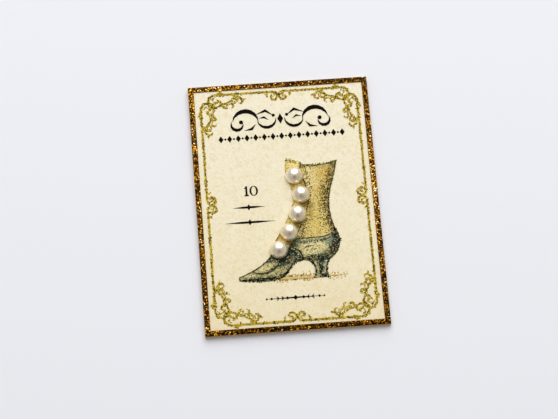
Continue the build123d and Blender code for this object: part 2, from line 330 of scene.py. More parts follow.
@dataclass(frozen=True)
class PaintedInk:
    """A hand-tinted print: a ground colour, soft patches over it, and a grain that breaks both up."""

    name: str
    ground: str
    grain_dark: str
    grain_light: str
    patches: tuple[Patch, ...]
    # A real engraver's grain is too fine to show in the render, so it is drawn coarser.
    grain_mm: float = 0.5
    grain_amount: float = 0.4
    grain_middle: float = 0.52
    grain_darkest: float = 0.36
    grain_lightest: float = 0.7
    wobble_mm: float = 0.5
    ripple_share: float = 1.6
    # A patch has its full strength where the fall from its middle is still this high.
    full_from: float = 0.6

    def material(self) -> bpy.types.Material:
        """Build the print, whose patches model the boot's form, and on the flap also paint the pearls'
        shade, and whose grain looks engraved.

        Returns:
            The material.
        """
        material, shader, place = new_material(self.name, {"Roughness": 0.75, "Specular IOR Level": 0.1})
        tree = material.node_tree
        ripple = add_node(tree, "ShaderNodeTexNoise", {"normalize": False}, {
            "Vector": place,
            "Scale": per_mm(self.grain_mm * self.ripple_share),
            "Detail": 3.0,
        })
        wobbled = add_node(tree, "ShaderNodeVectorMath", {"operation": "MULTIPLY_ADD"}, {
            0: ripple.outputs["Color"],
            1: (self.wobble_mm * MM,) * 3,
            2: place,
        })
        colour = linear(self.ground)
        for patch in self.patches:
            local = add_node(tree, "ShaderNodeMapping", {"vector_type": "TEXTURE"}, {
                "Vector": wobbled.outputs[0],
                "Location": (patch.centre[0] * MM, patch.centre[1] * MM, 0.0),
                "Rotation": (0.0, 0.0, math.radians(patch.turn)),
                "Scale": (patch.radii[0] * MM, patch.radii[1] * MM, 1.0),
            })
            fall = add_node(tree, "ShaderNodeTexGradient", {"gradient_type": "SPHERICAL"}, {
                "Vector": local.outputs[0],
            })
            amount = add_node(tree, "ShaderNodeMapRange", {"interpolation_type": "SMOOTHSTEP"}, {
                "Value": fall.outputs["Fac"],
                "From Max": self.full_from,
                "To Max": patch.strength,
            })
            mixed = add_node(tree, "ShaderNodeMix", {"data_type": "RGBA"}, {
                MIX_AMOUNT: amount.outputs["Result"],
                MIX_FROM: colour,
                MIX_TO: linear(patch.colour),
            })
            colour = mixed.outputs[MIXED]
        grain = add_node(tree, "ShaderNodeTexNoise", None, {
            "Vector": place,
            "Scale": per_mm(self.grain_mm),
            "Detail": 5.0,
            "Roughness": 0.65,
        })
        for limit, tint in ((self.grain_darkest, self.grain_dark), (self.grain_lightest, self.grain_light)):
            amount = add_node(tree, "ShaderNodeMapRange", None, {
                "Value": grain.outputs["Fac"],
                "From Min": self.grain_middle,
                "From Max": limit,
                "To Max": self.grain_amount,
            })
            mixed = add_node(tree, "ShaderNodeMix", {"data_type": "RGBA"}, {
                MIX_AMOUNT: amount.outputs["Result"],
                MIX_FROM: colour,
                MIX_TO: linear(tint),
            })
            colour = mixed.outputs[MIXED]
        tree.links.new(colour, shader.inputs["Base Color"])
        return material


@dataclass(frozen=True)
class TintedPieces:
    """Loose bits that each carry a colour of their own in a mesh attribute."""

    name: str
    roughness: float
    metallic: float
    specular: float = 0.5

    def material(self) -> bpy.types.Material:
        """Build the finish, which lets every bit catch the light in its own colour.

        Returns:
            The material.
        """
        material, shader, _ = new_material(self.name, {
            "Roughness": self.roughness,
            "Metallic": self.metallic,
            "Specular IOR Level": self.specular,
        })
        tree = material.node_tree
        tint = add_node(tree, "ShaderNodeAttribute", {"attribute_name": TINT})
        tree.links.new(tint.outputs["Color"], shader.inputs["Base Color"])
        return material


@dataclass(frozen=True)
class PearlLacquer:
    """Pearl lacquer over a moulded half bead."""

    clouds: tuple[tuple[float, str], ...] = ((0.32, "#F2DFC8"), (0.5, "#F5E9D0"), (0.68, "#F6F0DC"))
    cloud_mm: float = 1.3
    metallic: float = 0.74
    roughness: float = 0.31

    def material(self) -> bpy.types.Material:
        """Build the lacquer, more mirror than milk, with faint rosy and pale clouds in its cream.

        Returns:
            The material.
        """
        material, shader, place = new_material("pearl_lacquer", {
            "Metallic": self.metallic,
            "Roughness": self.roughness,
            "Subsurface Weight": 0.7,
            "Subsurface Radius": (1.0, 0.85, 0.6),
            "Subsurface Scale": 0.8 * MM,
            "Coat Weight": 0.2,
            "Coat Roughness": 0.15,
            "Coat IOR": 1.6,
        })
        tree = material.node_tree
        pigment = add_node(tree, "ShaderNodeTexNoise", None, {
            "Vector": place,
            "Scale": per_mm(self.cloud_mm),
        })
        colour = add_node(tree, "ShaderNodeValToRGB", None, {"Fac": pigment.outputs["Fac"]}, self.clouds)
        tree.links.new(colour.outputs["Color"], shader.inputs["Base Color"])
        return material


@dataclass(frozen=True)
class Tabletop:
    """Pale matt surface that the card lies on."""

    colour: str = "#EFF1F7"

    def material(self) -> bpy.types.Material:
        """Build the surface, plain and matt, so that only the card's soft shadow shows on it.

        Returns:
            The material.
        """
        material, _, _ = new_material("pale_tabletop", {
            "Base Color": linear(self.colour),
            "Roughness": 0.95,
            "Specular IOR Level": 0.0,
        })
        return material


def dress(node: str, material: bpy.types.Material) -> None:
    """Give one CAD node a material in place of what it came with.

    Args:
        node: Name of the CAD node.
        material: Material for all its faces.
    """
    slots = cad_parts[node].data.materials
    slots.clear()
    slots.append(material)
    LOG.info("%s: dressed as %s", node, material.name)


def deselect() -> None:
    """Leave object mode with nothing selected, so that an operator acts on the new piece alone."""
    if bpy.context.object and bpy.context.object.mode != "OBJECT":
        bpy.ops.object.mode_set(mode="OBJECT")
    bpy.ops.object.select_all(action="DESELECT")


def select_where(rule: Callable[[Vector], bool]) -> None:
    """Select the vertices of the object in edit mode whose places meet a rule.

    Args:
        rule: Takes a vertex's place and says whether it is selected.
    """
    piece = bpy.context.object
    bpy.ops.mesh.select_mode(type="VERT")
    bpy.ops.mesh.select_all(action="DESELECT")
    bpy.ops.object.mode_set(mode="OBJECT")
    for vertex in piece.data.vertices:
        vertex.select = rule(vertex.co)
    bpy.ops.object.mode_set(mode="EDIT")


def keep(piece: bpy.types.Object, name: str, material: bpy.types.Material) -> None:
    """Name a finished piece, dress it and fix it to the card.

    Args:
        piece: The finished object, with its place in its mesh.
        name: Name of the piece.
        material: Its material.
    """
    piece.name = name
    piece.data.name = name
    piece.data.materials.clear()
    piece.data.materials.append(material)
    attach(piece, "root")
    LOG.info("%s: %d faces", name, len(piece.data.polygons))


def tapered_chip(sides: int, top_share: float) -> bpy.types.Object:
    """Model one small flat chip, of radius and thickness one, with its top smaller than its base.

    Args:
        sides: Number of sides.
        top_share: Width of the top as a share of the base.

    Returns:
        The chip, resting on the origin.
    """
    deselect()
    bpy.ops.mesh.primitive_cylinder_add(vertices=sides, radius=1.0, depth=1.0, location=(0.0, 0.0, 0.5))
    bpy.ops.object.transform_apply(location=True, rotation=True, scale=True)
    bpy.ops.object.mode_set(mode="EDIT")
    select_where(lambda place: place.z > 0.5)
    bpy.ops.transform.resize(value=(top_share, top_share, 1.0), center_override=(0.0, 0.0, 1.0))
    bpy.ops.object.mode_set(mode="OBJECT")
    return bpy.context.object


def scatter(seed: bpy.types.Object, places: np.ndarray, turns: np.ndarray, sizes: np.ndarray,
            tints: np.ndarray) -> bpy.types.Object:
    """Copy one modelled bit to many places in a single mesh, with a colour for each copy.

    Args:
        seed: The modelled bit, which is used up.
        places: Place of each copy.
        turns: Rotation matrix of each copy.
        sizes: Scale of each copy along the bit's axes.
        tints: Linear colour of each copy.

    Returns:
        The object with all the copies.
    """
    shape = np.array([vertex.co for vertex in seed.data.vertices])
    faces = [tuple(face.vertices) for face in seed.data.polygons]
    grown = shape[None, :, :] * sizes[:, None, :]
    points = np.einsum("nij,nkj->nki", turns, grown) + places[:, None, :]
    corners = [
        tuple(copy * len(shape) + corner for corner in face)
        for copy in range(len(places)) for face in faces
    ]
    mesh = bpy.data.meshes.new("scattered")
    mesh.from_pydata(points.reshape(-1, 3).tolist(), [], corners)
    tint = mesh.color_attributes.new(TINT, "FLOAT_COLOR", "POINT")
    tint.data.foreach_set("color", np.repeat(tints, len(shape), axis=0).ravel())
    piece = bpy.data.objects.new("scattered", mesh)
    bpy.context.scene.collection.objects.link(piece)
    bpy.data.objects.remove(seed)
    return piece


def turned(spin: np.ndarray, tilt: np.ndarray, towards: np.ndarray) -> np.ndarray:
    """Give rotation matrices that spin a bit on its own axis and then tip it over.

    Args:
        spin: Angle about the bit's own axis.
        tilt: Angle off the flat.
        towards: Heading that each bit tips towards.

    Returns:
        One matrix a bit.
    """
    matrices = [
        Matrix.Rotation(heading, 3, "Z")
        @ Matrix.Rotation(tip, 3, "Y")
        @ Matrix.Rotation(own - heading, 3, "Z")
        for own, tip, heading in zip(spin, tilt, towards)
    ]
    return np.array([[list(row) for row in matrix] for matrix in matrices])


@dataclass
class PrintedBoard:
    """The board and every ink printed on it."""

    stock: CardStock = CardStock()
    # Dull gold ink, bronze powder in varnish, which glints a little and shows lighter and darker specks
    gilt: SpeckledInk = SpeckledInk(
        "gilt_printing_ink",
        ((0.30, "#6E5E0C"), (0.42, "#A58C18"), (0.55, "#C4A62A"), (0.66, "#D8BC40"), (0.78, "#EFDC84")),
        speck_mm=0.5,
        roughness=0.5,
        metallic=0.2,
    )
    # Letterpress black, warm and matt, and thin enough to turn brown at its palest specks
    black: SpeckledInk = SpeckledInk(
        "black_printing_ink",
        ((0.3, "#090502"), (0.6, "#170E06"), (0.8, "#352617")),
        specular=0.02,
    )
    # Green-black ink of the drawn lines, which pale to straw along the flap
    key: PaintedInk = PaintedInk("green_black_key_ink", "#18211C", "#080C0A", "#9C9260", (
        Patch((0.2, 7.6), (1.8, 5.4), "#DCC67C", 1.0),
        Patch((0.8, 2.0), (1.7, 4.8), "#D9C276", 1.0),
        Patch((-0.6, -3.4), (1.7, 3.8), "#D9C276", 1.0, -24.0),
        Patch((-3.0, -7.0), (1.3, 2.4), "#B89C48", 0.8, -32.0),
        Patch((10.4, 4.6), (2.0, 6.0), "#5D562E", 0.6),
        Patch((7.4, 9.2), (4.4, 1.4), "#8A8448", 0.85),
    ), grain_mm=0.42, grain_amount=0.7)
    # Pale yellow wash, darker between the pearls and golden under their lower left: partly the print's own
    # tint, partly painted shade and painted contact shadows of the pearls
    flap: PaintedInk = PaintedInk("pale_yellow_ink_and_painted_shade", "#E6CE74", "#B8962A", "#F2E4A6", (
        Patch((2.0, 9.2), (2.6, 1.8), "#F0DC8E"),
        # Painted shade of the pearls, partly the print's own tint: dark olive patches between them, golden
        # ones under their lower left
        Patch((3.9, 4.4), (1.3, 1.6), "#8C781C", 0.9),
        Patch((3.7, -0.5), (1.7, 1.3), "#6E5A10", 0.95),
        Patch((2.3, -4.9), (2.0, 1.4), "#66540E", 0.95),
        Patch((0.9, 4.1), (1.7, 1.1), "#B08E30", 0.9),
        Patch((0.2, -8.7), (1.9, 1.4), "#5A5014", 0.95),
        Patch((-2.6, -7.4), (1.6, 1.0), "#B89C3A", 0.8),
    ))
    # Tan wash, light at the front and dark down the back, so that the leg looks round
    leg: PaintedInk = PaintedInk("tan_leg_ink", "#DFCA7E", "#A38C42", "#EFDEA0", (
        Patch((6.2, 6.6), (2.6, 5.4), "#EAD796"),
        Patch((8.4, 6.6), (2.4, 3.2), "#D8B254", 0.75),
        Patch((7.4, 1.4), (1.8, 3.0), "#D8B050", 0.6),
        Patch((5.0, 4.0), (1.2, 3.6), "#EEDC98", 0.8),
        Patch((6.0, -4.4), (3.4, 4.0), "#E4CC74", 0.9),
        Patch((10.6, 6.8), (1.8, 5.4), "#9C8440", 0.9, -14.0),
        Patch((9.3, -0.6), (1.9, 7.0), "#7E6828", 0.95),
        Patch((8.0, 1.6), (1.7, 4.0), "#A8924A", 0.8),
        Patch((4.9, -1.6), (0.9, 3.6), "#A58C38", 0.7),
        Patch((7.0, 8.6), (4.0, 0.8), "#A79B4E", 0.6),
    ))
    # Grey-green wash with cream lights, so that the foot looks like polished leather
    foot: PaintedInk = PaintedInk("grey_green_foot_ink", "#74784F", "#28322A", "#D6CC94", (
        Patch((4.6, -8.5), (4.4, 1.0), "#8F9270", 0.8, 8.0),
        Patch((4.6, -10.4), (4.4, 2.0), "#EEE4AE", 1.0, 4.0),
        Patch((9.6, -9.8), (1.9, 5.0), "#22352F", 1.0),
        Patch((8.5, -8.6), (0.9, 1.6), "#93A08C", 0.8),
        Patch((7.4, -12.9), (4.0, 1.2), "#17302D", 1.0),
        Patch((4.6, -12.4), (4.0, 0.7), "#273228", 1.0),
        Patch((6.0, -15.2), (2.2, 3.4), "#17322F", 0.95),
        Patch((4.9, -15.0), (0.5, 2.6), "#EAE2B0", 1.0, 8.0),
        Patch((6.8, -14.6), (0.45, 2.6), "#A9B69C", 0.9, -12.0),
        Patch((-0.4, -10.4), (2.2, 2.6), "#35432F", 0.95),
        Patch((-0.2, -12.4), (2.6, 1.2), "#8E8E68", 0.9, 30.0),
        Patch((-2.6, -12.9), (3.3, 1.25), "#23291A", 1.0, 15.0),
        Patch((-5.6, -14.0), (3.6, 0.9), "#F4EAB4", 1.0, 20.0),
        Patch((-4.6, -15.3), (5.0, 0.8), "#A29E6C", 1.0, 6.0),
        Patch((-9.6, -15.7), (2.6, 0.9), "#F6EDB8", 1.0, 12.0),
        Patch((-5.6, -16.8), (8.0, 1.2), "#12201D", 1.0),
        Patch((1.2, -13.0), (1.0, 2.4), "#1E2C26", 0.9, -48.0),
    ), grain_amount=0.3)
    # Thin tan wash, a little darker than the board
    ground: PaintedInk = PaintedInk("faint_tan_ink", "#D8C07C", "#BE9A48", "#E6D49C", ())

    def dress(self) -> None:
        """Put the board's and the inks' materials on the CAD nodes."""
        finishes = {
            "card": self.stock,
            "gilt_scroll_frame": self.gilt,
            "black_ornament_print": self.black,
            "boot_line_print": self.key,
            "boot_flap_print": self.flap,
            "boot_leg_print": self.leg,
            "boot_foot_print": self.foot,
            "ground_print": self.ground,
        }
        for node, finish in finishes.items():
            dress(node, finish.material())


@dataclass
class GlitterBand:
    """The band of coarse glitter round the card's rim, as a dark bed with loose flakes on it."""

    # Brown glue, so that the gaps between the flakes look deep
    bed: SpeckledInk = SpeckledInk("glitter_glue_bed", (
        (0.3, "#1C1105"), (0.6, "#4A2F0C"), (0.8, "#80561A"),
    ))
    # Metallised film, glossy enough for each flake to flash at its own angle
    flake: TintedPieces = TintedPieces("glitter_flakes", roughness=0.32, metallic=1.0)
    flakes: int = 6800
    tries_per_flake: int = 14
    flake_sides: int = 6
    flake_top_share: float = 0.86
    radius_mm: tuple[float, float] = (0.09, 0.20)
    thickness_mm: float = 0.03
    inset_mm: float = 0.13
    pile_mm: float = 0.10
    pile_shares: tuple[float, float] = (-0.3, 1.0)
    tilt_degrees: float = 26.0
    colours: tuple[str, ...] = (
        "#120A03", "#2E1A04", "#5C3807", "#8E590B", "#BE8014", "#DCA234", "#F2CC70", "#FFF2D0",
    )
    shares: tuple[float, ...] = (0.32, 0.24, 0.15, 0.12, 0.09, 0.05, 0.02, 0.01)
    # The flakes nearest to the print are one colour lighter, but no lighter than this colour.
    gilded_mm: float = 0.3
    gilded_lightest: int = 5
    # Middles of the lighter and darker stretches, in millimetres, each with its step of colour
    stretches: tuple[tuple[float, float, int], ...] = (
        (-13.0, 27.7, 1), (19.2, 4.0, 1), (10.0, 27.7, -1), (-10.0, -27.7, -1), (10.0, -27.7, -1),
    )
    stretch_mm: float = 9.0
    rim_slack_mm: float = 0.1
    seed: int = 11

    def dress(self) -> None:
        """Put the dark bed's material on the CAD band."""
        dress("glitter_border", self.bed.material())

    def build(self) -> None:
        """Scatter the flakes over the band, all round the rim."""
        low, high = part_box("glitter_border")
        inner_low, inner_high = self._inner_edge()
        rng = np.random.default_rng(self.seed)
        inset = self.inset_mm * MM
        start = (low.x + inset, low.y + inset)
        end = (high.x - inset, high.y - inset)
        spots = rng.uniform(start, end, (self.flakes * self.tries_per_flake, 2))
        inside = np.all((spots > inner_low - inset) & (spots < inner_high + inset), axis=1)
        spots = spots[~inside][:self.flakes]
        count = len(spots)
        rise = rng.uniform(*self.pile_shares, count) * self.pile_mm * MM
        places = np.column_stack((spots, high.z + rise))
        angles = rng.uniform(0.0, 2 * math.pi, (2, count))
        tilt = np.abs(rng.normal(0.0, math.radians(self.tilt_degrees) / 2, count))
        radii = rng.uniform(*self.radius_mm, (count, 2)) * MM
        sizes = np.column_stack((radii, np.full(count, self.thickness_mm * MM)))
        palette = np.array([linear(colour) for colour in self.colours])
        picks = rng.choice(len(palette), count, p=self.shares)
        edge = np.maximum(inner_low - spots, spots - inner_high).max(axis=1)
        picks = np.where(edge < self.gilded_mm * MM, np.clip(picks + 1, 0, self.gilded_lightest), picks)
        for across, up, lift in self.stretches:
            away = np.linalg.norm(spots / MM - (across, up), axis=1)
            moved = rng.uniform(size=count) < np.exp(-(away / self.stretch_mm) ** 2)
            picks = np.clip(picks + lift * moved, 0, len(palette) - 1)
        flake = tapered_chip(self.flake_sides, self.flake_top_share)
        piece = scatter(flake, places, turned(angles[0], tilt, angles[1]), sizes, palette[picks])
        keep(piece, "glitter_flakes", self.flake.material())

    def _inner_edge(self) -> tuple[np.ndarray, np.ndarray]:
        """Find the band's inner edge from its own corners.

        Returns:
            The lowest and highest inner corner.
        """
        corners = np.array([vertex.co[:2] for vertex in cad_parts["glitter_border"].data.vertices])
        rim = np.abs(corners).max(axis=0) - self.rim_slack_mm * MM
        inner = corners[np.all(np.abs(corners) < rim, axis=1)]
        return inner.min(axis=0), inner.max(axis=0)


@dataclass
class PearlRow:
    """The half pearls, each a smooth lacquered dome with its foot rounded to a flat back."""

    count: int = 5
    finish: PearlLacquer = PearlLacquer()
    segments: int = 72
    rings: int = 36
    foot_round_mm: float = 0.12
    foot_segments: int = 3
    cut_exact_mm: float = 0.001
    smooth_degrees: float = 50.0

    def build(self) -> None:
        """Copy the dome to the place of each CAD node."""
        material = self.finish.material()
        dome = self._dome()
        for number in range(1, self.count + 1):
            node = f"pearl_button_{number}"
            low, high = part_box(node)
            pearl = dome.copy()
            pearl.data = dome.data.copy()
            bpy.context.scene.collection.objects.link(pearl)
            pearl.data.transform(Matrix.Translation(((low.x + high.x) / 2, (low.y + high.y) / 2, low.z)))
            keep(pearl, f"pearl_dome_{number}", material)
            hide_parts(node)
        bpy.data.objects.remove(dome)

    def _dome(self) -> bpy.types.Object:
        """Model one half ball of the first node's width, cut flat at the origin and rounded at its foot.

        Returns:
            The dome.
        """
        low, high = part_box("pearl_button_1")
        exact = self.cut_exact_mm * MM
        deselect()
        radius = (high.x - low.x) / 2
        bpy.ops.mesh.primitive_uv_sphere_add(segments=self.segments, ring_count=self.rings, radius=radius)
        bpy.ops.object.mode_set(mode="EDIT")
        bpy.ops.mesh.select_all(action="SELECT")
        bpy.ops.mesh.bisect(
            plane_co=(0.0, 0.0, 0.0),
            plane_no=(0.0, 0.0, 1.0),
            use_fill=True,
            clear_inner=True,
            threshold=exact,
        )
        select_where(lambda place: place.z < exact)
        bpy.ops.mesh.bevel(offset=self.foot_round_mm * MM, segments=self.foot_segments)
        bpy.ops.object.mode_set(mode="OBJECT")
        bpy.ops.object.shade_smooth_by_angle(angle=math.radians(self.smooth_degrees))
        return bpy.context.object


@dataclass
class Numeral:
    """A plain number ten in an upright face with thick and thin strokes, printed beside the boot."""

    # Letterpress black, a little browner than the ornaments'
    finish: SpeckledInk = SpeckledInk(
        "black_numeral_ink",
        ((0.3, "#0E0803"), (0.6, "#1E130A"), (0.8, "#3C2B1B")),
        specular=0.02,
    )
    left_mm: float = -9.15
    foot_mm: float = 2.35
    height_mm: float = 2.25
    stem_mm: float = 0.42
    serif_mm: float = 0.98
    hairline_mm: float = 0.13
    flag_taper: float = 0.4
    bowl_width_mm: float = 1.86
    bowl_sides: int = 48
    gap_mm: float = 0.16
    ink_mm: float = 0.05

    def build(self) -> None:
        """Model both figures and join them into one printed piece."""
        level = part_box("black_ornament_print")[0].z
        one = self._one(level)
        nought = self._nought(level)
        deselect()
        nought.select_set(True)
        one.select_set(True)
        bpy.context.view_layer.objects.active = one
        bpy.ops.object.join()
        bpy.ops.object.modifier_add(type="SOLIDIFY")
        one.modifiers[-1].thickness = self.ink_mm * MM
        one.modifiers[-1].offset = 1.0
        bpy.ops.object.modifier_apply(modifier=one.modifiers[-1].name)
        keep(one, "numeral_ten", self.finish.material())

    def _one(self, level: float) -> bpy.types.Object:
        """Model the figure one: a stem that flares to its foot, with a flag at its head.

        Args:
            level: Height of the printed face.

        Returns:
            The flat figure.
        """
        middle = (self.left_mm + self.serif_mm / 2) * MM
        foot = self.foot_mm * MM
        top = foot + self.height_mm * MM
        half = self.stem_mm / 2 * MM
        thin = self.hairline_mm * MM
        # The foot is three hairlines high, two of them flared, and the head is four, with the flag on two.
        stem_low = foot + 3 * thin
        stem_high = top - 4 * thin
        deselect()
        bpy.ops.mesh.primitive_plane_add(size=1.0, location=(middle, (stem_low + stem_high) / 2, level))
        bpy.context.object.scale = (2 * half, stem_high - stem_low, 1.0)
        bpy.ops.object.transform_apply(location=True, rotation=True, scale=True)
        bpy.ops.object.mode_set(mode="EDIT")
        select_where(lambda place: place.y < stem_low + thin / 2)
        for drop, flare in ((2 * thin, self.serif_mm / self.stem_mm), (thin, 1.0)):
            bpy.ops.mesh.extrude_edges_move(TRANSFORM_OT_translate={"value": (0.0, -drop, 0.0)})
            bpy.ops.transform.resize(value=(flare, 1.0, 1.0), center_override=(middle, foot, level))
        select_where(lambda place: place.y > stem_high - thin / 2)
        for rise in (2 * thin, 2 * thin):
            bpy.ops.mesh.extrude_edges_move(TRANSFORM_OT_translate={"value": (0.0, rise, 0.0)})
        select_where(lambda place: place.x < middle and stem_high - thin / 2 < place.y < top - thin)
        reach = half - self.serif_mm / 2 * MM
        bpy.ops.mesh.extrude_edges_move(TRANSFORM_OT_translate={"value": (reach, 0.0, 0.0)})
        taper = (1.0, self.flag_taper, 1.0)
        bpy.ops.transform.resize(value=taper, center_override=(middle, stem_high, level))
        bpy.ops.object.mode_set(mode="OBJECT")
        return bpy.context.object

    def _nought(self, level: float) -> bpy.types.Object:
        """Model the figure nought: a ring with thick sides and thin head and foot.

        Args:
            level: Height of the printed face.

        Returns:
            The flat figure.
        """
        half_width = self.bowl_width_mm / 2 * MM
        half_height = self.height_mm / 2 * MM
        left = (self.left_mm + self.serif_mm + self.gap_mm) * MM
        centre = (left + half_width, self.foot_mm * MM + half_height, level)
        deselect()
        bpy.ops.mesh.primitive_circle_add(vertices=self.bowl_sides, radius=1.0, location=centre)
        bpy.context.object.scale = (half_width, half_height, 1.0)
        bpy.ops.object.transform_apply(location=True, rotation=True, scale=True)
        bpy.ops.object.mode_set(mode="EDIT")
        bpy.ops.mesh.select_all(action="SELECT")
        bpy.ops.mesh.duplicate()
        thick = 1 - self.stem_mm * MM / half_width
        thin = 1 - self.hairline_mm * MM / half_height
        bpy.ops.transform.resize(value=(thick, thin, 1.0), center_override=centre)
        bpy.ops.mesh.select_all(action="SELECT")
        bpy.ops.mesh.bridge_edge_loops()
        bpy.ops.mesh.normals_make_consistent(inside=False)
        bpy.ops.object.mode_set(mode="OBJECT")
        return bpy.context.object


@dataclass(frozen=True)
class StippleBand:
    """A run of stippled dots that thins out to both sides of a line, in shares of the boot's drawn size."""

    line: tuple[tuple[float, float], ...]
    reach_mm: float
    strength: float


@dataclass(frozen=True)
class StippleLayer:
    """Dots of one set of colours on one film, by chance along its bands and elsewhere, or set as buds."""

    node: str
    colours: tuple[str, ...]
    dots_per_mm2: float = 0.0
    elsewhere: float = 0.0
    bands: tuple[StippleBand, ...] = ()
    radius_mm: tuple[float, float] = (0.06, 0.17)
    stray_mm: float = 0.0
    rise_mm: float = 0.08
    buds: tuple[tuple[float, float], ...] = ()


# Buds of half a corner spray, in millimetres in from the gilt frame's corner
SPRAY_BUDS = (
    (7.45, 1.55), (7.35, 2.05), (7.75, 2.45), (8.15, 2.25), (8.50, 1.95), (8.55, 1.60),
    (8.20, 1.40), (7.85, 0.90), (8.20, 0.75), (5.45, 2.45), (5.85, 2.45), (6.20, 2.75),
    (5.55, 3.35), (5.85, 3.55), (6.15, 3.40), (5.25, 2.90), (4.15, 1.95), (3.85, 2.25),
    (4.40, 0.05), (4.75, 0.45), (4.95, -0.15), (5.20, 0.20), (2.35, 0.95), (4.80, 2.40),
)

# Lines of the boot, in shares of its drawn length and height
BACK_LINE = ((0.985, 0.967), (0.940, 0.816), (0.883, 0.632), (0.887, 0.500), (0.919, 0.397))
CALF = ((0.900, 0.760), (0.850, 0.600), (0.855, 0.440))
TOP_LINE = ((0.587, 0.965), (0.777, 0.939), (0.985, 0.967))
FLAP_TOP = ((0.515, 0.990), (0.587, 0.985), (0.660, 0.975))
FLAP_EDGE = ((0.667, 0.960), (0.700, 0.830), (0.715, 0.760), (0.690, 0.600), (0.655, 0.480))
ANKLE = ((0.655, 0.480), (0.630, 0.400), (0.600, 0.350))
SEAM = ((0.580, 0.300), (0.738, 0.302), (0.860, 0.318))
SEAM_LIGHT = ((0.600, 0.320), (0.738, 0.320), (0.860, 0.338))
COUNTER = ((0.919, 0.397), (0.952, 0.309), (0.883, 0.173))
PANEL_LIGHT = ((0.600, 0.235), (0.680, 0.240), (0.790, 0.250))
WAIST = ((0.640, 0.170), (0.780, 0.160), (0.880, 0.180))
THROAT = ((0.520, 0.300), (0.480, 0.240), (0.540, 0.200), (0.590, 0.160))
VAMP = ((0.310, 0.160), (0.400, 0.165), (0.470, 0.200))
VAMP_LIGHT = ((0.160, 0.092), (0.330, 0.135))
CAP = ((0.130, 0.075), (0.225, 0.060), (0.375, 0.130))
CAP_LIGHT = ((0.140, 0.045), (0.330, 0.060), (0.420, 0.095))
TOE_LIGHT = ((0.030, 0.036), (0.110, 0.060))
INSTEP = ((0.028, 0.052), (0.160, 0.103), (0.274, 0.173), (0.335, 0.250))
SHANK = ((0.657, 0.143), (0.568, 0.150), (0.483, 0.092), (0.389, 0.018))
SHANK_LIGHT = ((0.400, 0.045), (0.490, 0.115), (0.560, 0.165))
SOLE = ((0.389, 0.018), (0.245, 0.000), (0.060, 0.007))
HEEL_BACK = ((0.883, 0.173), (0.812, 0.088), (0.823, 0.000))
HEEL_FRONT = ((0.683, 0.000), (0.702, 0.081), (0.657, 0.143))
HEEL_FOOT = ((0.683, 0.000), (0.823, 0.000))
HEEL_FOLD = ((0.820, 0.100), (0.765, 0.060), (0.762, 0.000))
HEEL_FRONT_LIGHT = ((0.718, 0.125), (0.722, 0.015))
HEEL_BACK_LIGHT = ((0.800, 0.130), (0.782, 0.030))

DARKS = ("#060A0B", "#0A1C1F", "#123236", "#2A2814")
OLIVES = ("#1A190B", "#332C0E", "#4C4014", "#6A5018")
CREAMS = ("#F4E7A8", "#EBDB92", "#DCD298")
OCHRES = ("#CC9438", "#C09A42", "#E0C058", "#EEE2A4", "#F2E8B8", "#949048")
RUSTS_AND_TEALS = ("#B4713A", "#C99A45", "#3F6F6C", "#5F8C86", "#D9C070")
GILTS = ("#A08818", "#BC9E22", "#D0B236", "#DEC244", "#EAD568")
EARTHS = ("#B48A1C", "#C29A30", "#B0781C", "#CDAE48", "#947C24")

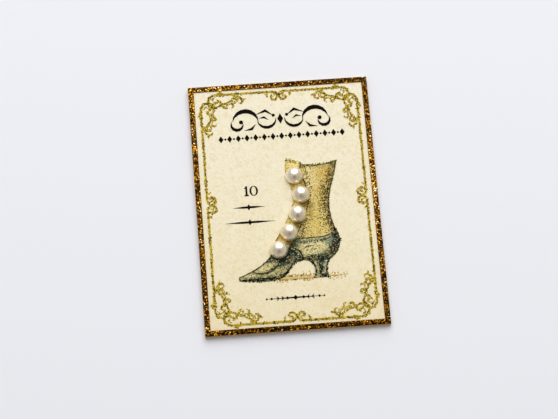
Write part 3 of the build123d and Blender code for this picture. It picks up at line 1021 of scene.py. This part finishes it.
BOOT_LAYERS = (
    StippleLayer("boot_leg_print", OLIVES, dots_per_mm2=26.0, elsewhere=0.035, bands=(
        StippleBand(BACK_LINE, 1.4, 0.90),
        StippleBand(CALF, 1.5, 0.35),
        StippleBand(TOP_LINE, 0.45, 0.60),
        StippleBand(FLAP_EDGE, 0.35, 0.90),
        StippleBand(ANKLE, 0.7, 0.80),
    )),
    StippleLayer("boot_leg_print", OCHRES, dots_per_mm2=16.0, elsewhere=0.60),
    StippleLayer("boot_leg_print", ("#33401F", "#56602A", "#86863A", "#B8AC58"), dots_per_mm2=40.0, bands=(
        StippleBand(TOP_LINE, 0.45, 0.90),
    ), stray_mm=0.16, rise_mm=0.10),
    StippleLayer("boot_flap_print", ("#4C5A26", "#7A7A2C", "#A8A040", "#D8CC74"), dots_per_mm2=40.0, bands=(
        StippleBand(FLAP_TOP, 0.40, 0.90),
    ), stray_mm=0.14, rise_mm=0.10),
    StippleLayer("boot_line_print", DARKS, dots_per_mm2=12.0, bands=tuple(
        StippleBand(line, 0.35, 1.0) for line in (BACK_LINE, INSTEP)
    ), radius_mm=(0.05, 0.13), stray_mm=0.10),
    StippleLayer("boot_line_print", DARKS, dots_per_mm2=40.0, bands=tuple(
        StippleBand(line, 0.5, 1.0) for line in (COUNTER, HEEL_BACK, HEEL_FOOT, HEEL_FRONT, SHANK, SOLE)
    ), radius_mm=(0.07, 0.19), stray_mm=0.11, rise_mm=0.10),
    StippleLayer("boot_line_print", DARKS, dots_per_mm2=50.0, bands=(
        StippleBand(SOLE, 0.5, 1.0),
    ), radius_mm=(0.08, 0.20), stray_mm=0.19, rise_mm=0.07),
    StippleLayer("boot_line_print", ("#B9AA62", "#8C8450", "#D2C584"), dots_per_mm2=9.0, elsewhere=1.0,
                 radius_mm=(0.05, 0.12), stray_mm=0.06, rise_mm=0.11),
    StippleLayer("boot_foot_print", DARKS, dots_per_mm2=42.0, elsewhere=0.05, bands=(
        StippleBand(COUNTER, 1.25, 0.95),
        StippleBand(WAIST, 0.7, 0.95),
        StippleBand(HEEL_FOOT, 0.6, 1.00),
        StippleBand(HEEL_FRONT, 0.3, 0.90),
        StippleBand(HEEL_BACK, 0.4, 0.90),
        StippleBand(HEEL_FOLD, 0.5, 0.90),
        StippleBand(SHANK, 0.6, 0.80),
        StippleBand(SOLE, 0.75, 1.00),
        StippleBand(THROAT, 0.8, 0.85),
        StippleBand(VAMP, 0.95, 1.00),
        StippleBand(CAP, 0.35, 0.80),
        StippleBand(INSTEP, 0.30, 0.35),
        StippleBand(SEAM, 0.28, 0.85),
    )),
    StippleLayer("boot_foot_print", CREAMS, dots_per_mm2=40.0, elsewhere=0.03, bands=(
        StippleBand(PANEL_LIGHT, 1.1, 0.65),
        StippleBand(VAMP_LIGHT, 0.55, 0.95),
        StippleBand(CAP_LIGHT, 0.5, 0.75),
        StippleBand(TOE_LIGHT, 0.5, 0.95),
        StippleBand(HEEL_FRONT_LIGHT, 0.32, 1.00),
        StippleBand(HEEL_BACK_LIGHT, 0.25, 0.90),
        StippleBand(SHANK_LIGHT, 0.22, 0.90),
        StippleBand(SEAM_LIGHT, 0.17, 0.90),
    ), rise_mm=0.09),
    StippleLayer("boot_foot_print", RUSTS_AND_TEALS, dots_per_mm2=20.0, elsewhere=0.09, bands=(
        StippleBand(COUNTER, 1.2, 0.20),
        StippleBand(WAIST, 1.0, 0.20),
    ), rise_mm=0.09),
    StippleLayer("boot_flap_print", ("#8F7A1E", "#B59A36", "#E8DA9A"), dots_per_mm2=14.0, elsewhere=0.30),
)
GILT_LAYERS = (
    StippleLayer("gilt_scroll_frame", GILTS, dots_per_mm2=23.0, elsewhere=1.0,
                 radius_mm=(0.09, 0.19), stray_mm=0.07, rise_mm=0.06),
    StippleLayer("gilt_scroll_frame", ("#7A6A12", "#94801A"),
                 radius_mm=(0.28, 0.38), stray_mm=0.05, rise_mm=0.055, buds=SPRAY_BUDS),
    StippleLayer("gilt_scroll_frame", ("#B89A1E", "#CCAE30", "#DEC54C", "#EDDA78"),
                 radius_mm=(0.17, 0.27), stray_mm=0.06, rise_mm=0.070, buds=SPRAY_BUDS),
    StippleLayer("gilt_scroll_frame", ("#3E3408", "#54480A", "#6E5C10"), dots_per_mm2=8.0, elsewhere=1.0,
                 radius_mm=(0.08, 0.19), stray_mm=0.06, rise_mm=0.09),
)
GROUND_LAYERS = (
    StippleLayer("ground_print", EARTHS, dots_per_mm2=100.0, elsewhere=1.0,
                 radius_mm=(0.07, 0.18), stray_mm=0.36, rise_mm=0.03),
)


@dataclass
class Stipple:
    """Dots of ink that shade a printed film or break up its edge."""

    name: str
    slot: Slot
    layers: tuple[StippleLayer, ...]
    seed: int
    # Matt ink, each dot in its own colour, so that a film looks engraved and tinted
    finish: TintedPieces = TintedPieces("stippled", roughness=0.7, metallic=0.0, specular=0.1)
    dot_sides: int = 6
    dot_top_share: float = 0.8
    drawn_share: float = 0.985
    flat_normal: float = 0.9
    top_slack_mm: float = 0.01

    def build(self) -> None:
        """Scatter the dots of every layer and keep them as one piece."""
        rng = np.random.default_rng(self.seed)
        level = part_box("card")[1].z
        places, sizes, tints = [], [], []
        for layer in self.layers:
            spots = self._spots(layer, rng)
            count = len(spots)
            radii = rng.uniform(*layer.radius_mm, (count, 2)) * MM
            palette = np.array([linear(colour) for colour in layer.colours])
            places.append(np.column_stack((spots, np.full(count, level))))
            sizes.append(np.column_stack((radii, np.full(count, layer.rise_mm * MM))))
            tints.append(palette[rng.integers(len(palette), size=count)])
        total = sum(len(group) for group in places)
        turns = turned(rng.uniform(0.0, 2 * math.pi, total), np.zeros(total), np.zeros(total))
        dot = tapered_chip(self.dot_sides, self.dot_top_share)
        piece = scatter(dot, np.concatenate(places), turns, np.concatenate(sizes), np.concatenate(tints))
        finish = replace(self.finish, name=f"{self.finish.name}_{self.slot.value}")
        keep(piece, self.name, finish.material())

    def _spots(self, layer: StippleLayer, rng: np.random.Generator) -> np.ndarray:
        """Choose dots on the top of a layer's film, most of them along its bands.

        Args:
            layer: The layer.
            rng: Source of the random choices.

        Returns:
            The chosen places on the card.
        """
        if layer.buds:
            return self._buds(layer, rng)
        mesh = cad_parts[layer.node].data
        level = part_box(layer.node)[1].z - self.top_slack_mm * MM
        tops = [
            face for face in mesh.polygons
            if face.normal.z > self.flat_normal and face.center.z > level
        ]
        corners = np.array([[mesh.vertices[index].co[:2] for index in face.vertices[:3]] for face in tops])
        areas = np.array([face.area for face in tops])
        tries = int(layer.dots_per_mm2 * areas.sum() / MM ** 2)
        chosen = corners[rng.choice(len(tops), tries, p=areas / areas.sum())]
        first, second = rng.uniform(size=(2, tries, 1))
        over = first + second > 1
        first, second = np.where(over, 1 - first, first), np.where(over, 1 - second, second)
        base, one, two = chosen[:, 0], chosen[:, 1], chosen[:, 2]
        spots = base + first * (one - base) + second * (two - base)
        chance = np.full(tries, layer.elsewhere)
        for band in layer.bands:
            away = self._distance(spots, self._places(band.line))
            chance += band.strength * np.exp(-(away / (band.reach_mm * MM)) ** 2)
        kept = spots[rng.uniform(size=tries) < chance]
        return kept + rng.normal(0.0, 1.0, kept.shape) * layer.stray_mm * MM

    def _buds(self, layer: StippleLayer, rng: np.random.Generator) -> np.ndarray:
        """Set a layer's buds in all four corners of its film, each spray mirrored in its own diagonal.

        Args:
            layer: The layer, with its buds in millimetres in from a corner.
            rng: Source of the random choices.

        Returns:
            The places on the card.
        """
        low, high = (np.array(corner[:2]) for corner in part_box(layer.node))
        spray = np.array(layer.buds) * MM
        inset = np.concatenate((spray, spray[:, ::-1]))
        corners = (
            (low, (1, 1)),
            (high, (-1, -1)),
            ((low[0], high[1]), (1, -1)),
            ((high[0], low[1]), (-1, 1)),
        )
        spots = np.concatenate([corner + inset * way for corner, way in corners])
        return spots + rng.normal(0.0, 1.0, spots.shape) * layer.stray_mm * MM

    def _places(self, shares: Sequence[tuple[float, float]]) -> np.ndarray:
        """Turn shares of the boot's drawn size into places on the card.

        Args:
            shares: Shares of the boot's length and height.

        Returns:
            The places.
        """
        boxes = [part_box(f"boot_{part}_print") for part in ("leg", "foot")]
        low = np.min([box[0][:2] for box in boxes], axis=0)
        high = np.max([box[1][:2] for box in boxes], axis=0)
        drawn = np.array((self.drawn_share, max(height for _, height in BACK_LINE)))
        return low + np.array(shares) / drawn * (high - low)

    @staticmethod
    def _distance(spots: np.ndarray, line: np.ndarray) -> np.ndarray:
        """Measure how far each spot is from a line of straight runs.

        Args:
            spots: Places on the card.
            line: Corners of the line.

        Returns:
            The distances.
        """
        nearest = np.full(len(spots), np.inf)
        for start, end in zip(line[:-1], line[1:]):
            run = end - start
            share = np.clip((spots - start) @ run / (run @ run), 0.0, 1.0)
            nearest = np.minimum(nearest, np.linalg.norm(spots - start - share[:, None] * run, axis=1))
        return nearest


@dataclass
class Studio:
    """Pale tabletop, one large soft light over the card's head, a plain room, and the camera."""

    table: Tabletop = Tabletop()
    table_size: float = 3.0
    table_lap_mm: float = 0.05
    key_power: float = 10.2
    key_size: float = 1.25
    key_place: tuple[float, float, float] = (0.07, 0.64, 0.70)
    room: str = "#ADADAC"
    room_strength: float = 1.0
    walls: str = "#D4D2CC"
    wall_top: float = 0.4
    foot_shade: float = 0.88
    shade_from: float = -0.9
    shade_to: float = 0.3
    brown: str = "#5E2000"
    brown_way: tuple[float, float, float] = (0.0, -0.53, 0.848)
    brown_near: float = 0.978
    brown_far: float = 0.89
    backdrop: str = "#EEEEF4"
    lens: float = 120.0
    sensor_width: float = 36.0
    clip_start_mm: float = 10.0
    camera_tilt: float = -17.96
    camera_swing: float = 1.49
    camera_roll: float = 4.62
    camera_offset_mm: tuple[float, float, float] = (1.850, 1.247, -402.05)

    def build(self) -> None:
        """Set up the stage, the light and the camera."""
        scene = bpy.context.scene
        scene.view_settings.view_transform = "Standard"
        self._table()
        self._key()
        self._camera()
        self._world()

    def _table(self) -> None:
        """Lay the tabletop round the card and leave it open below, so that the back shows from there."""
        low, high = cad_box
        laps = 2 * self.table_lap_mm * MM
        opening = (high.x - low.x - laps, high.y - low.y - laps)
        deselect()
        bpy.ops.mesh.primitive_plane_add(size=1.0, location=(0.0, 0.0, low.z))
        table = bpy.context.object
        table.scale = (*opening, 1.0)
        bpy.ops.object.transform_apply(location=True, rotation=True, scale=True)
        bpy.ops.object.mode_set(mode="EDIT")
        bpy.ops.mesh.select_all(action="SELECT")
        bpy.ops.mesh.delete(type="ONLY_FACE")
        bpy.ops.mesh.select_all(action="SELECT")
        bpy.ops.mesh.extrude_edges_move()
        growth = (self.table_size / opening[0], self.table_size / opening[1], 1.0)
        bpy.ops.transform.resize(value=growth, center_override=(0.0, 0.0, low.z))
        bpy.ops.mesh.select_all(action="SELECT")
        bpy.ops.mesh.normals_make_consistent(inside=False)
        bpy.ops.object.mode_set(mode="OBJECT")
        table.name = "tabletop"
        table.data.materials.append(self.table.material())

    def _key(self) -> None:
        """Hang the soft light over the card's head, a little to the right."""
        deselect()
        bpy.ops.object.light_add(type="AREA", location=self.key_place)
        key = bpy.context.object
        key.name = "softbox"
        key.data.energy = self.key_power
        key.data.shape = "DISK"
        key.data.size = self.key_size
        key.rotation_euler = Vector(self.key_place).to_track_quat("Z", "Y").to_euler()

    def _camera(self) -> None:
        """Stand the camera where the photograph's corners put it."""
        deselect()
        bpy.ops.object.camera_add()
        camera = bpy.context.object
        camera.data.lens = self.lens
        camera.data.sensor_width = self.sensor_width
        camera.data.clip_start = self.clip_start_mm * MM
        turn = (Matrix.Rotation(math.radians(self.camera_tilt), 3, "X")
                @ Matrix.Rotation(math.radians(self.camera_swing), 3, "Y")
                @ Matrix.Rotation(math.radians(self.camera_roll), 3, "Z")).transposed()
        face = Vector((0.0, 0.0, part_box("card")[1].z))
        place = face - turn @ (Vector(self.camera_offset_mm) * MM)
        camera.matrix_world = Matrix.Translation(place) @ turn.to_4x4()
        bpy.context.scene.camera = camera

    def _world(self) -> None:
        """Surround the card with a plain room, with one brown patch overhead that the pearls mirror."""
        world = bpy.data.worlds.new("room")
        bpy.context.scene.world = world
        world.use_nodes = True
        tree = world.node_tree
        background = tree.nodes["Background"]
        direction = add_node(tree, "ShaderNodeTexCoord").outputs["Generated"]
        aligned = add_node(tree, "ShaderNodeVectorMath", {"operation": "DOT_PRODUCT"}, {
            0: direction,
            1: self.brown_way,
        })
        near = add_node(tree, "ShaderNodeMapRange", {"interpolation_type": "SMOOTHSTEP"}, {
            "Value": aligned.outputs["Value"],
            "From Min": self.brown_far,
            "From Max": self.brown_near,
        })
        axes = add_node(tree, "ShaderNodeSeparateXYZ", None, {"Vector": direction})
        low = add_node(tree, "ShaderNodeMapRange", {"interpolation_type": "SMOOTHSTEP"}, {
            "Value": axes.outputs["Z"],
            "From Min": self.wall_top,
            "From Max": 0.0,
        })
        walled = add_node(tree, "ShaderNodeMix", {"data_type": "RGBA"}, {
            MIX_AMOUNT: low.outputs["Result"],
            MIX_FROM: linear(self.room),
            MIX_TO: linear(self.walls),
        })
        shade = add_node(tree, "ShaderNodeMapRange", {"interpolation_type": "SMOOTHSTEP"}, {
            "Value": axes.outputs["Y"],
            "From Min": self.shade_from,
            "From Max": self.shade_to,
            "To Min": self.foot_shade,
        })
        shaded = add_node(tree, "ShaderNodeVectorMath", {"operation": "SCALE"}, {
            0: walled.outputs[MIXED],
            "Scale": shade.outputs["Result"],
        })
        room = add_node(tree, "ShaderNodeMix", {"data_type": "RGBA"}, {
            MIX_AMOUNT: near.outputs["Result"],
            MIX_FROM: shaded.outputs[0],
            MIX_TO: linear(self.brown),
        })
        rays = add_node(tree, "ShaderNodeLightPath")
        seen = add_node(tree, "ShaderNodeMix", {"data_type": "RGBA"}, {
            MIX_AMOUNT: rays.outputs["Is Camera Ray"],
            MIX_FROM: room.outputs[MIXED],
            MIX_TO: linear(self.backdrop),
        })
        tree.links.new(seen.outputs[MIXED], background.inputs["Color"])
        background.inputs["Strength"].default_value = self.room_strength


def main() -> None:
    """Dress the card, add its loose pieces and set up the studio."""
    logging.basicConfig(level=logging.INFO, format="%(name)s: %(message)s")
    PrintedBoard().dress()
    band = GlitterBand()
    band.dress()
    band.build()
    PearlRow().build()
    Numeral().build()
    Stipple("boot_stipple", Slot.KEY_INK, BOOT_LAYERS, seed=5).build()
    Stipple("gilt_beading", Slot.GILT_INK, GILT_LAYERS, seed=7).build()
    Stipple("ground_stipple", Slot.GROUND_INK, GROUND_LAYERS, seed=9).build()
    Studio().build()
    LOG.info("sizes written")


if __name__ == "__main__":
    main()
